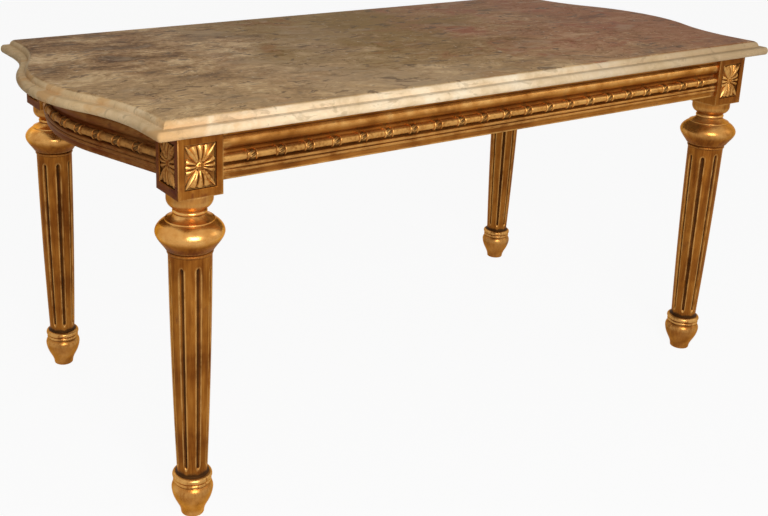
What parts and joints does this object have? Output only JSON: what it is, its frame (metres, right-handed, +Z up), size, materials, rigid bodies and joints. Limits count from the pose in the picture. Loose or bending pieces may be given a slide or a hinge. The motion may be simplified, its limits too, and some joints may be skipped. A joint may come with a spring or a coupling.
{
  "type": "side table",
  "caption": "Low rectangular side table: loose marble top with bowed ends and moulded edge on a gilt carved frame with turned, fluted legs.",
  "frame": {"origin": "on the floor under the middle of the table", "axes": "+X along the table's length, +Y from the front to the back, +Z up"},
  "size_m": [1.1588, 0.56, 0.53],
  "materials": {
    "marble": "polished",
    "gilt_wood": "aged gilding",
    "plain_wood": "planed",
    "screw_steel": "satin",
    "pad": "matte"
  },
  "bodies": {
    "frame": {"bearer_screws": "screw_steel", "brace_screws": "screw_steel", "carved_rod_back": "gilt_wood", "carved_rod_front": "gilt_wood", "carved_rod_left": "gilt_wood", "carved_rod_right": "gilt_wood", "corner_block_back_left": "gilt_wood", "corner_block_back_right": "gilt_wood", "corner_block_front_left": "gilt_wood", "corner_block_front_right": "gilt_wood", "corner_brace_back_left": "plain_wood", "corner_brace_back_right": "plain_wood", "corner_brace_front_left": "plain_wood", "corner_brace_front_right": "plain_wood", "cross_bearer_left": "plain_wood", "cross_bearer_right": "plain_wood", "leg_back_left": "gilt_wood", "leg_back_right": "gilt_wood", "leg_front_left": "gilt_wood", "leg_front_right": "gilt_wood", "marble_pads": "pad", "rail_back": "gilt_wood", "rail_dowels": "plain_wood", "rail_front": "gilt_wood", "rail_left": "gilt_wood", "rail_right": "gilt_wood", "rosette_back_left_front": "gilt_wood", "rosette_back_left_side": "gilt_wood", "rosette_back_right_front": "gilt_wood", "rosette_back_right_side": "gilt_wood", "rosette_front_left_front": "gilt_wood", "rosette_front_left_side": "gilt_wood", "rosette_front_right_front": "gilt_wood", "rosette_front_right_side": "gilt_wood"},
    "top": {"marble_top": "marble"}
  },
  "joints": [
    {"name": "top_lift", "type": "slide", "parent": "frame", "child": "top", "axis": [0, 0, 1], "range_m": [0, 0.1]}
  ]
}
